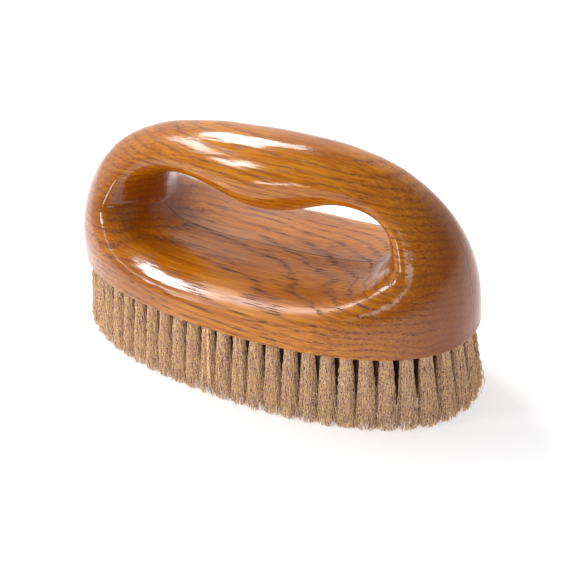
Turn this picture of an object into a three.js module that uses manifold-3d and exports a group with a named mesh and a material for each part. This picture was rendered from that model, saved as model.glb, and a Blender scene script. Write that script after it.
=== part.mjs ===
// Clothes brush: an oval wooden block with a closed hand loop over it, set with tufts of crimped brass wire.
// The block is two mirrored halves glued on the middle plane. Every tuft of the outer ring is its own piece,
// and the tufts inside the ring are one piece, because their wires interlock at the tips.
// Millimetres. +X runs along the brush, +Y to its back and +Z up. The bristle tips stand on z = 0.
import * as THREE from "three";
import { mergeVertices } from "three/addons/utils/BufferGeometryUtils.js";
import Module from "manifold-3d";

const wasm = await Module();
wasm.setup();

// Block, seen from above: an oval of this length and width. A squareness of 2 would be an ellipse.
const BLOCK_LENGTH = 150;
const BLOCK_WIDTH = 72.8;
const BLOCK_SQUARENESS = 2.23;

// Block and hand loop, seen from the front: a D of this height over the bristles.
const BRISTLE_TRIM = 25.5;
const HANDLE_HEIGHT = 54.5;
const CROWN_SQUARENESS = 2.82;
const CROWN_SKEW = 0.057; // share of the height by which the right end stands taller

// Sides: they stay as wide as the block up to the shoulder, then draw in to the width of the grip.
const SHOULDER_HEIGHT = 7;
const GRIP_HEIGHT = 46;
const GRIP_WIDTH = 41;
const CROWN_ROUNDING = 4.2; // higher keeps the sides of the grip upright for longer

// Finger window: a long rounded hole. The grip swells down into it where the palm closes.
const WINDOW_LENGTH = 92.5;
const WINDOW_HEIGHT = 25;
const WINDOW_SQUARENESS = 3.3;
const WINDOW_SHIFT = 2.4; // of the window's middle, towards the right end
const WINDOW_SLOPE = 0.045;
const FLOOR_THICKNESS = 13.2; // wood under the middle of the window
const GRIP_SWELL = 9.5;
const GRIP_SWELL_PLACE = 4.3; // along X
const GRIP_SWELL_SPREAD = 23.4;

// Mouths of the window: how far the surface has come forward from the middle plane, one millimetre out from
// the window's edge. The floor is nearly flat, the end walls flare and the grip is round.
const FLOOR_SPREAD = 20.4;
const WALL_SPREAD = 5.3;
const GRIP_SPREAD = 4.7;
const SPREAD_POWER = 0.556;
const MOUTH_CORE = 0.68; // share of the window's length over which the floor keeps its full spread
const RIM_SHARPNESS = 4.9; // higher gives a tighter edge between a mouth and the outside

// Bristles.
const EDGE_TUFTS = 56; // an even number, so that none lies on the glue line
const TUFT_DIAMETER = 4.2;
const TUFT_DEPTH = 7.5; // of the drilled hole
const TUFT_CLEARANCE = 0.3;
const EDGE_WALL = 1.7; // wood between the outer ring of holes and the side of the block
const EDGE_SPLAY = 2.9; // how far a tip of the outer ring leans out
const INNER_PITCH = 7.4; // between tufts in a row
const INNER_ROW_PITCH = 6.6;
const MAT_THICKNESS = 5; // depth over which the wires of the inner tufts interlock

const GAP = 0.3; // glue line, and the air between neighbouring tufts

// Fineness of the faceted shapes.
const LOOP_STEPS_TOP = 50;
const LOOP_STEPS_BASE = 34;
const SECTION_STEPS = 11;
const EDGE_TUFT_SIDES = 8;
const INNER_TUFT_SIDES = 6;
const OVAL_STEPS = 56;
const ARC_DIVISIONS = 2000;
const EDGE_STRETCHES = 360;

// Sizes that follow from the ones above.
const HALF_LENGTH = BLOCK_LENGTH / 2;
const HALF_WIDTH = BLOCK_WIDTH / 2 - GAP / 2; // of one glued half
const BLOCK_BOTTOM = BRISTLE_TRIM;
const WINDOW_MIDDLE = BLOCK_BOTTOM + FLOOR_THICKNESS + WINDOW_HEIGHT / 2;
const TUFT_RADIUS = TUFT_DIAMETER / 2;
const HOLE_RADIUS = TUFT_RADIUS + TUFT_CLEARANCE;
const EDGE_INSET = EDGE_WALL + HOLE_RADIUS;
const DRILL_START = 1; // below the block's bottom, so that a hole is open
const RING_CLEARANCE = 0.85; // of the pitch, between the outer ring and the rows inside it
const MERGE_DISTANCE = 1e-4;
const WINDOW_SPLIT = 0.6; // radians below its long axis, where the window's ends give way to its floor

const WOOD = new THREE.MeshStandardMaterial({ color: 0xb86a1e, roughness: 0.25, metalness: 0 });
const WIRE = new THREE.MeshStandardMaterial({ color: 0xb5885a, roughness: 0.45, metalness: 0.8 });

// Cosine or sine raised so that the oval of the given squareness results.
const squared = (value, squareness) => Math.sign(value) * Math.abs(value) ** (2 / squareness);

// Half height of a unit oval at a share of its half length: 1 at the middle, 0 at the end.
const bulge = (share, squareness) => Math.max(0, 1 - Math.min(1, Math.abs(share)) ** squareness) ** (1 / squareness);

// A curve given by a formula in an angle that runs from `from` to `to`.
class AngleCurve extends THREE.Curve {
  constructor(from, to, pointAt) {
    super();
    this.arcLengthDivisions = ARC_DIVISIONS;
    this.place = (t) => pointAt(from + (to - from) * t);
  }
  getPoint(t, target = new THREE.Vector3()) {
    return target.copy(this.place(t));
  }
}

// The window's edge on the middle plane.
function windowEdge(angle) {
  const x = (WINDOW_LENGTH / 2) * squared(Math.cos(angle), WINDOW_SQUARENESS) + WINDOW_SHIFT;
  const rise = squared(Math.sin(angle), WINDOW_SQUARENESS);
  const swell = GRIP_SWELL * Math.exp(-(((x - GRIP_SWELL_PLACE) / GRIP_SWELL_SPREAD) ** 2));
  const slope = WINDOW_SLOPE * (x - WINDOW_SHIFT);
  return new THREE.Vector3(x, 0, WINDOW_MIDDLE + slope + (WINDOW_HEIGHT / 2) * rise - swell * Math.max(0, rise));
}

// Height of the D over the block's bottom at a place along the brush.
const crownHeight = (x) => HANDLE_HEIGHT * (1 + (CROWN_SKEW * x) / HALF_LENGTH);

// The outside of the D on the middle plane.
function crownEdge(angle) {
  const x = HALF_LENGTH * squared(Math.cos(angle), CROWN_SQUARENESS);
  return new THREE.Vector3(x, 0, BLOCK_BOTTOM + crownHeight(x) * squared(Math.sin(angle), CROWN_SQUARENESS));
}

// An oval like the block's plan, smaller all round by `inset`.
const oval = (inset) => (angle) =>
  new THREE.Vector3(
    (HALF_LENGTH - inset) * squared(Math.cos(angle), BLOCK_SQUARENESS),
    (BLOCK_WIDTH / 2 - inset) * squared(Math.sin(angle), BLOCK_SQUARENESS),
    0,
  );

// Pairs of points, on the window's edge and on the outside, going once round the window. The outside of the
// base is its bottom, where the points follow the plan's outline.
function sections() {
  const pairUp = (starts, ends, base) => ends.slice(0, -1).map((end, i) => ({ start: starts[i], end, base }));
  const half = Math.PI;
  const top = pairUp(
    new AngleCurve(-WINDOW_SPLIT, half + WINDOW_SPLIT, windowEdge).getSpacedPoints(LOOP_STEPS_TOP),
    new AngleCurve(0, half, crownEdge).getSpacedPoints(LOOP_STEPS_TOP),
    false,
  );
  const base = pairUp(
    new AngleCurve(half + WINDOW_SPLIT, 2 * half - WINDOW_SPLIT, windowEdge).getSpacedPoints(LOOP_STEPS_BASE),
    new AngleCurve(half, 2 * half, oval(0))
      .getSpacedPoints(LOOP_STEPS_BASE)
      .map((point) => new THREE.Vector3(point.x, 0, BLOCK_BOTTOM)),
    true,
  );
  return [...top, ...base];
}

// Half thickness of the whole loaf, before the window is hollowed out of it.
function loafThickness(x, z) {
  const height = Math.min(1, Math.max(0, (z - BLOCK_BOTTOM) / crownHeight(x)));
  const reach = HALF_LENGTH * bulge(height, CROWN_SQUARENESS);
  if (reach === 0) return 0;
  const drawIn = THREE.MathUtils.smoothstep(z, BLOCK_BOTTOM + SHOULDER_HEIGHT, BLOCK_BOTTOM + GRIP_HEIGHT);
  const width = THREE.MathUtils.lerp(HALF_WIDTH, GRIP_WIDTH / 2 - GAP / 2, drawIn);
  return width * Math.sqrt(1 - height ** CROWN_ROUNDING) * bulge(x / reach, BLOCK_SQUARENESS);
}

// Straight stretches of the window's edge, short enough to measure from.
const edgeStretches = (() => {
  const points = new AngleCurve(0, 2 * Math.PI, windowEdge).getSpacedPoints(EDGE_STRETCHES);
  return points.slice(1).map((end, i) => new THREE.Line3(points[i], end));
})();

function distanceToWindow(point) {
  const near = new THREE.Vector3();
  const distances = edgeStretches.map((stretch) =>
    stretch.closestPointToPoint(point, true, near).distanceTo(point),
  );
  return Math.min(...distances);
}

// How quickly the mouth comes forward at a point, from its direction as seen from the window's long axis.
function mouthSpread(point) {
  const reach = (MOUTH_CORE * WINDOW_LENGTH) / 2;
  const along = THREE.MathUtils.clamp(point.x - WINDOW_SHIFT, -reach, reach);
  const core = new THREE.Vector3(WINDOW_SHIFT + along, 0, WINDOW_MIDDLE + WINDOW_SLOPE * along);
  const rise = point.clone().sub(core).normalize().z;
  const down = THREE.MathUtils.smoothstep(-rise, 0, 1);
  const up = THREE.MathUtils.smoothstep(rise, 0, 1);
  return WALL_SPREAD + (FLOOR_SPREAD - WALL_SPREAD) * down + (GRIP_SPREAD - WALL_SPREAD) * up;
}

// Half thickness that the mouth of the window allows.
const mouthThickness = (point) => mouthSpread(point) * distanceToWindow(point) ** SPREAD_POWER;

// Surface points of one section, from the window's edge to the outside, on the back half.
function sectionPoints({ start, end, base }) {
  return Array.from({ length: SECTION_STEPS + 1 }, (_, step) => {
    const share = (1 - Math.cos((Math.PI * step) / SECTION_STEPS)) / 2;
    const point = start.clone().lerp(end, share);
    const onMiddlePlane = step === 0 || (step === SECTION_STEPS && !base);
    if (!onMiddlePlane) {
      const loaf = loafThickness(point.x, point.z);
      const crowding = (1 - share) * (loaf / mouthThickness(point)) ** RIM_SHARPNESS;
      point.y = loaf * (1 + crowding) ** (-1 / RIM_SHARPNESS);
    }
    point.y += GAP / 2;
    return point;
  });
}

// A closed solid from a geometry, or from a list of triangles' corners.
function solidOf(source) {
  const geometry = Array.isArray(source) ? new THREE.BufferGeometry().setFromPoints(source) : source;
  geometry.deleteAttribute("normal");
  geometry.deleteAttribute("uv");
  const merged = mergeVertices(geometry, MERGE_DISTANCE);
  const corners = Array.from(merged.index.array);
  const triVerts = [];
  for (let i = 0; i < corners.length; i += 3) {
    const [a, b, c] = corners.slice(i, i + 3);
    if (a !== b && b !== c && c !== a) triVerts.push(a, b, c);
  }
  const vertProperties = merged.attributes.position.array;
  return new wasm.Manifold(new wasm.Mesh({ numProp: 3, vertProperties, triVerts: new Uint32Array(triVerts) }));
}

function geometryOf(solid) {
  const { vertProperties, triVerts } = solid.getMesh();
  const geometry = new THREE.BufferGeometry();
  geometry.setAttribute("position", new THREE.BufferAttribute(new Float32Array(vertProperties), 3));
  geometry.setIndex(new THREE.BufferAttribute(new Uint32Array(triVerts), 1));
  geometry.computeVertexNormals();
  return geometry;
}

// One half of the wooden block, not yet drilled. `side` is 1 for the back and -1 for the front.
function blockHalf(side) {
  const rings = sections().map((section) => {
    const surface = sectionPoints(section);
    const outside = new THREE.Vector3(section.end.x, GAP / 2, section.end.z);
    return { surface, inside: surface[0], outside, rim: surface[SECTION_STEPS], base: section.base };
  });
  const corners = [];
  const quad = (a, b, c, d) => corners.push(a, b, c, a, c, d);
  rings.forEach((ring, i) => {
    const next = rings[(i + 1) % rings.length];
    for (let step = 0; step < SECTION_STEPS; step += 1)
      quad(ring.surface[step], next.surface[step], next.surface[step + 1], ring.surface[step + 1]);
    quad(ring.inside, ring.outside, next.outside, next.inside);
    if (ring.base) quad(ring.rim, next.rim, next.outside, ring.outside);
  });
  if (side > 0) return solidOf(corners);
  return solidOf(corners.map((point) => new THREE.Vector3(point.x, -point.y, point.z)).reverse());
}

// Radius of an edge tuft at a height: it opens from its hole to its tip.
const edgeRing = new AngleCurve(0, 2 * Math.PI, oval(EDGE_INSET));
const TIP_RADIUS = (edgeRing.getLength() / EDGE_TUFTS - GAP) / 2;
const edgeRadiusAt = (z) => THREE.MathUtils.lerp(TIP_RADIUS, TUFT_RADIUS, z / BLOCK_BOTTOM);

// A bundle or a hole turned from [radius, height] pairs. It stands on `root` at the block's bottom, and leans
// so that at z = 0 its axis has moved by `lean`. One flat of it faces along `facingAngle`.
function leaningTurning(profile, sides, { root, lean, facingAngle }) {
  const points = profile.map(([radius, height]) => new THREE.Vector2(radius, height));
  const geometry = new THREE.LatheGeometry(points, sides, Math.PI / sides);
  geometry.rotateX(Math.PI / 2);
  geometry.rotateZ(facingAngle);
  const slope = lean.clone().divideScalar(-BLOCK_BOTTOM);
  const place = new THREE.Matrix4().set(
    1, 0, slope.x, root.x + lean.x,
    0, 1, slope.y, root.y + lean.y,
    0, 0, 1, 0,
    0, 0, 0, 1,
  );
  return geometry.applyMatrix4(place);
}

// The outer ring of tufts, anticlockwise from the right end, symmetrical about the glue line.
function edgePlaces() {
  return Array.from({ length: EDGE_TUFTS }, (_, i) => {
    const share = (i + 0.5) / EDGE_TUFTS;
    const along = edgeRing.getTangentAt(share);
    const out = new THREE.Vector3(along.y, -along.x, 0);
    return {
      root: edgeRing.getPointAt(share),
      lean: out.clone().multiplyScalar(EDGE_SPLAY),
      facingAngle: Math.atan2(out.y, out.x),
    };
  });
}

// Staggered straight rows of tufts inside the outer ring, none on the glue line.
function innerPlaces() {
  const inset = EDGE_INSET + INNER_PITCH * RING_CLEARANCE;
  const reach = HALF_LENGTH - inset;
  const depth = BLOCK_WIDTH / 2 - inset;
  const places = [];
  const rows = Math.floor(depth / INNER_ROW_PITCH + 0.5);
  for (let row = 0; row < rows; row += 1) {
    const y = (row + 0.5) * INNER_ROW_PITCH;
    const halfRow = reach * bulge(y / depth, BLOCK_SQUARENESS);
    const offset = row % 2 === 0 ? 0 : 0.5;
    const last = Math.floor(halfRow / INNER_PITCH - offset);
    for (let column = -last - 2 * offset; column <= last; column += 1) {
      const x = (column + offset) * INNER_PITCH;
      for (const side of [1, -1])
        places.push({ root: new THREE.Vector3(x, side * y, 0), lean: new THREE.Vector3(), facingAngle: 0 });
    }
  }
  return places;
}

// The drilled blind hole of one tuft.
function hole(place, sides) {
  const profile = [
    [0, BLOCK_BOTTOM - DRILL_START],
    [HOLE_RADIUS, BLOCK_BOTTOM - DRILL_START],
    [HOLE_RADIUS, BLOCK_BOTTOM + TUFT_DEPTH],
    [0, BLOCK_BOTTOM + TUFT_DEPTH],
  ];
  return solidOf(leaningTurning(profile, sides, place));
}

const TUFT_TOP = BLOCK_BOTTOM + TUFT_DEPTH - TUFT_CLEARANCE;

// One tuft of the outer ring: straight in its hole, and opening below the block.
function edgeTuft(place) {
  const profile = [[0, 0], [TIP_RADIUS, 0], [TUFT_RADIUS, BLOCK_BOTTOM], [TUFT_RADIUS, TUFT_TOP], [0, TUFT_TOP]];
  return solidOf(leaningTurning(profile, EDGE_TUFT_SIDES, place));
}

// All the tufts inside the ring, and the mat that their wires make at the tips.
function innerTuftField() {
  const insetAt = (z) => EDGE_INSET - EDGE_SPLAY * (1 - z / BLOCK_BOTTOM) + edgeRadiusAt(z);
  const matInset = Math.max(insetAt(0), insetAt(MAT_THICKNESS)) + 2 * GAP;
  const outline = new AngleCurve(0, 2 * Math.PI, oval(matInset)).getSpacedPoints(OVAL_STEPS).slice(0, -1);
  const shape = new THREE.Shape(outline.map((point) => new THREE.Vector2(point.x, point.y)));
  const mat = solidOf(new THREE.ExtrudeGeometry(shape, { depth: MAT_THICKNESS, bevelEnabled: false }));
  const foot = MAT_THICKNESS / 2;
  const profile = [[0, foot], [TUFT_RADIUS, foot], [TUFT_RADIUS, TUFT_TOP], [0, TUFT_TOP]];
  return innerPlaces().reduce(
    (field, place) => field.add(solidOf(leaningTurning(profile, INNER_TUFT_SIDES, place))),
    mat,
  );
}

// The half with every hole on its own side of the glue line.
function drilledHalf(side) {
  const own = ({ root }) => root.y * side > 0;
  const holes = [
    ...edgePlaces().filter(own).map((place) => hole(place, EDGE_TUFT_SIDES)),
    ...innerPlaces().filter(own).map((place) => hole(place, INNER_TUFT_SIDES)),
  ];
  return holes.reduce((block, drilled) => block.subtract(drilled), blockHalf(side));
}

function addPiece(group, name, solid, material) {
  const mesh = new THREE.Mesh(geometryOf(solid), material);
  mesh.name = name;
  group.add(mesh);
}

function clothesBrush() {
  const brush = new THREE.Group();
  const handle = new THREE.Group();
  addPiece(handle, "handle_half_front", drilledHalf(-1), WOOD);
  addPiece(handle, "handle_half_back", drilledHalf(1), WOOD);
  const bristles = new THREE.Group();
  edgePlaces().forEach((place, i) => {
    addPiece(bristles, `edge_tuft_${String(i + 1).padStart(2, "0")}`, edgeTuft(place), WIRE);
  });
  addPiece(bristles, "inner_tuft_field", innerTuftField(), WIRE);
  brush.add(handle, bristles);
  return brush;
}

export default clothesBrush();
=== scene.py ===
"""Clothes brush: an oval block of lacquered wood with a closed hand loop, set with crimped brass wire.

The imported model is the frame. Each glued half of the block, each tuft of the outer ring and the field of
tufts inside it is made again here, finer and dressed, in the place where the frame has it. Sizes are in
millimetres until a mesh is made. +X runs along the brush, +Y to its back and +Z up.
"""

import logging
import math
from dataclasses import dataclass, field
from enum import Enum
from typing import Callable, Sequence, Union

import bpy
import numpy as np
from mathutils import Matrix, Vector
from mathutils.geometry import delaunay_2d_cdt


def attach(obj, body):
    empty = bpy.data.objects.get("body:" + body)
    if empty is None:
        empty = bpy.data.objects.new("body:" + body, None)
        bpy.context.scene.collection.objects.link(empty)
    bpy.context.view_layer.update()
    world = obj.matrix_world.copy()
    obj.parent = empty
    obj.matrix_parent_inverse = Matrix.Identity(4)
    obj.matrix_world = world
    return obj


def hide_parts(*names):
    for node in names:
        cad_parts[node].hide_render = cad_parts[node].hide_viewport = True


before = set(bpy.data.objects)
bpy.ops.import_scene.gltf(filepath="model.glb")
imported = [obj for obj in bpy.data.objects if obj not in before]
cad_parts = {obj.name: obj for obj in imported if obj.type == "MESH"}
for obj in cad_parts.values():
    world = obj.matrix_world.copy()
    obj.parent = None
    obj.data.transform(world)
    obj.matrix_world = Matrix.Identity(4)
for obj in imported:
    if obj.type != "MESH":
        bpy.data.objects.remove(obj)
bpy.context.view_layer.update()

LOG = logging.getLogger("clothes_brush")
MM = 0.001
BODY = "root"
TINY = 1e-9  # keeps a division away from zero
MEASURING_POINTS = 8001  # points by which a curve's length is measured

Colour = tuple[float, float, float]
Place = tuple[float, float, float]
Curve = Callable[[np.ndarray], np.ndarray]


# ---------------------------------------------------------------------------------------------------------
# Shader sheets
# ---------------------------------------------------------------------------------------------------------


class Signal:
    """One output socket of a sheet. Sums written on it add the Math nodes that work them out."""

    def __init__(self, sheet: "Sheet", socket: bpy.types.NodeSocket) -> None:
        """Keeps the socket and the sheet it is on."""
        self.sheet = sheet
        self.socket = socket

    def _sum(self, operation: str, left: "Link", right: "Link" = 0.0) -> "Signal":
        """Adds one Math node for an operation on two values."""
        return self.sheet.add("ShaderNodeMath", {"operation": operation}, {0: left, 1: right})

    def __add__(self, other: "Link") -> "Signal":
        """This value plus another."""
        return self._sum("ADD", self, other)

    def __radd__(self, other: "Link") -> "Signal":
        """Another value plus this one."""
        return self._sum("ADD", other, self)

    def __sub__(self, other: "Link") -> "Signal":
        """This value less another."""
        return self._sum("SUBTRACT", self, other)

    def __rsub__(self, other: "Link") -> "Signal":
        """Another value less this one."""
        return self._sum("SUBTRACT", other, self)

    def __mul__(self, other: "Link") -> "Signal":
        """This value times another."""
        return self._sum("MULTIPLY", self, other)

    def __rmul__(self, other: "Link") -> "Signal":
        """Another value times this one."""
        return self._sum("MULTIPLY", other, self)

    def __truediv__(self, other: "Link") -> "Signal":
        """This value over another."""
        return self._sum("DIVIDE", self, other)

    def __pow__(self, other: "Link") -> "Signal":
        """This value to a power."""
        return self._sum("POWER", self, other)

    def __abs__(self) -> "Signal":
        """Size of this value without its sign."""
        return self._sum("ABSOLUTE", self)

    def wave(self) -> "Signal":
        """Sine of this value, lifted to run from 0 to 1."""
        return self._sum("SINE", self) * 0.5 + 0.5

    def sibling(self, output: str) -> "Signal":
        """Another output of the same node."""
        return Signal(self.sheet, self.socket.node.outputs[output])

    def rise(self, low: float, high: float) -> "Signal":
        """Smooth step of this value.

        Args:
            low: value at and below which the step is 0.
            high: value at and above which the step is 1.

        Returns:
            The step, from 0 to 1.
        """
        settings = {"interpolation_type": "SMOOTHSTEP"}
        sockets = {"Value": self, "From Min": low, "From Max": high}
        return self.sheet.add("ShaderNodeMapRange", settings, sockets)


Link = Union[Signal, float, Sequence[float]]


class Sheet:
    """The node tree of one material or of the world, filled in by plain calls."""

    def __init__(self, tree: bpy.types.NodeTree) -> None:
        """Starts from an empty tree.

        Args:
            tree: node tree to fill.
        """
        self.tree = tree
        self.tree.nodes.clear()

    def add(self, kind: str, settings: dict | None = None, sockets: dict | None = None,
            output: int | str = 0) -> Signal:
        """Adds one node, sets it and connects it.

        Args:
            kind: Blender's name for the node's type.
            settings: the node's own options; "stops" holds a ramp's (position, colour) pairs.
            sockets: values or signals, by the input's name or number.
            output: the output that is wanted, by name or number.

        Returns:
            The wanted output.
        """
        node = self.tree.nodes.new(kind)
        for option, value in (settings or {}).items():
            if option == "stops":
                self._set_stops(node.color_ramp, value)
            else:
                setattr(node, option, value)
        for name, value in (sockets or {}).items():
            if isinstance(value, Signal):
                self.tree.links.new(value.socket, node.inputs[name])
            else:
                node.inputs[name].default_value = value
        return Signal(self, node.outputs[output]) if node.outputs else Signal(self, node.inputs[0])

    @staticmethod
    def _set_stops(ramp: bpy.types.ColorRamp, stops: Sequence[tuple[float, Colour]]) -> None:
        """Lays out a ramp's stops.

        Args:
            ramp: ramp with its two first stops.
            stops: position and colour of each stop, in order.
        """
        while len(ramp.elements) < len(stops):
            ramp.elements.new(1.0)
        for element, (position, colour) in zip(ramp.elements, stops):
            element.position = position
            element.color = (*colour, 1.0)

    def place(self) -> Signal:
        """Place on the brush, in millimetres."""
        return self.stretched(self.add("ShaderNodeTexCoord", output="Object"), (1 / MM,) * 3)

    def stretched(self, place: Signal, factors: Place) -> Signal:
        """A place with each of its axes multiplied.

        Args:
            place: vector to stretch.
            factors: one factor for each axis.

        Returns:
            The stretched vector.
        """
        return self.add("ShaderNodeVectorMath", {"operation": "MULTIPLY"}, {0: place, 1: factors})

    def axes(self, place: Signal) -> tuple[Signal, Signal, Signal]:
        """The three numbers of a vector."""
        node = self.add("ShaderNodeSeparateXYZ", None, {0: place}).socket.node
        return tuple(Signal(self, socket) for socket in node.outputs)

    def blend(self, share: Link, first: Link, second: Link, manner: str = "MIX") -> Signal:
        """Mixes two colours.

        Args:
            share: how much of the second colour shows.
            first: colour at a share of 0.
            second: colour at a share of 1.
            manner: Blender's name for the way of mixing.

        Returns:
            The mixed colour.
        """
        opaque = [value if isinstance(value, Signal) else (*value, 1.0) for value in (first, second)]
        settings = {"data_type": "RGBA", "blend_type": manner, "clamp_factor": True}
        return self.add("ShaderNodeMix", settings, {0: share, 6: opaque[0], 7: opaque[1]}, output=2)

    def bump(self, height: Signal, depth: float, strength: float = 1.0) -> Signal:
        """Turns a height into a surface direction.

        Args:
            height: height as a share of the depth.
            depth: depth in millimetres.
            strength: how much of the effect shows.

        Returns:
            The direction, for a shader's Normal.
        """
        sockets = {"Strength": strength, "Distance": depth * MM, "Height": height}
        return self.add("ShaderNodeBump", None, sockets)

    def surface(self, **sockets: Link) -> None:
        """Ends a material's sheet with its one shader.

        Args:
            sockets: the shader's inputs, with spaces in their names written as underscores.
        """
        named = {name.replace("_", " "): value for name, value in sockets.items()}
        shader = self.add("ShaderNodeBsdfPrincipled", None, named)
        self.add("ShaderNodeOutputMaterial", None, {"Surface": shader})


def new_sheet(name: str) -> tuple[bpy.types.Material, Sheet]:
    """A new material and its empty sheet."""
    material = bpy.data.materials.new(name)
    material.use_nodes = True
    return material, Sheet(material.node_tree)


# ---------------------------------------------------------------------------------------------------------
# Finishes
# ---------------------------------------------------------------------------------------------------------


class Slot(Enum):
    """The record's material slots."""

    WOOD = "lacquered_wood"
    WIRE = "bristle_wire"


@dataclass(frozen=True)
class Mottle:
    """Smooth noise, stretched along the grain or along the wire."""

    factors: Place  # bumps per millimetre along each axis
    detail: float = 2.0  # how many finer layers are added
    roughness: float = 0.5  # how strong the finer layers are

    def draw(self, sheet: Sheet, place: Signal, output: str = "Fac") -> Signal:
        """Draws the noise.

        Args:
            sheet: sheet to draw on.
            place: where on the brush.
            output: "Fac" for one number, "Color" for three.

        Returns:
            Noise that lies around 0.5.
        """
        sockets = {"Vector": sheet.stretched(place, self.factors), "Scale": 1.0, "Detail": self.detail,
                   "Roughness": self.roughness}
        return sheet.add("ShaderNodeTexNoise", {"noise_dimensions": "3D"}, sockets, output)


@dataclass(frozen=True)
class Dashes:
    """Short dark strokes along the grain, each one an opened vessel of the wood."""

    factors: Place  # strokes per millimetre along each axis
    radius: float  # of a stroke, as a share of its own cell
    kept: float  # share of the cells that hold a stroke
    core: float = 0.8  # share of the radius inside which a stroke is fully dark
    chance_blur: float = 0.02

    def draw(self, sheet: Sheet, place: Signal) -> Signal:
        """Draws the strokes.

        Args:
            sheet: sheet to draw on.
            place: where on the brush.

        Returns:
            1 inside a stroke, 0 outside.
        """
        sockets = {"Vector": sheet.stretched(place, self.factors), "Scale": 1.0}
        cells = sheet.add("ShaderNodeTexVoronoi", {"feature": "F1"}, sockets, output="Distance")
        chance, _, _ = sheet.axes(cells.sibling("Color"))
        inside = 1 - cells.rise(self.radius * self.core, self.radius)
        left_out = 1 - self.kept
        return inside * chance.rise(left_out - self.chance_blur, left_out + self.chance_blur)


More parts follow.
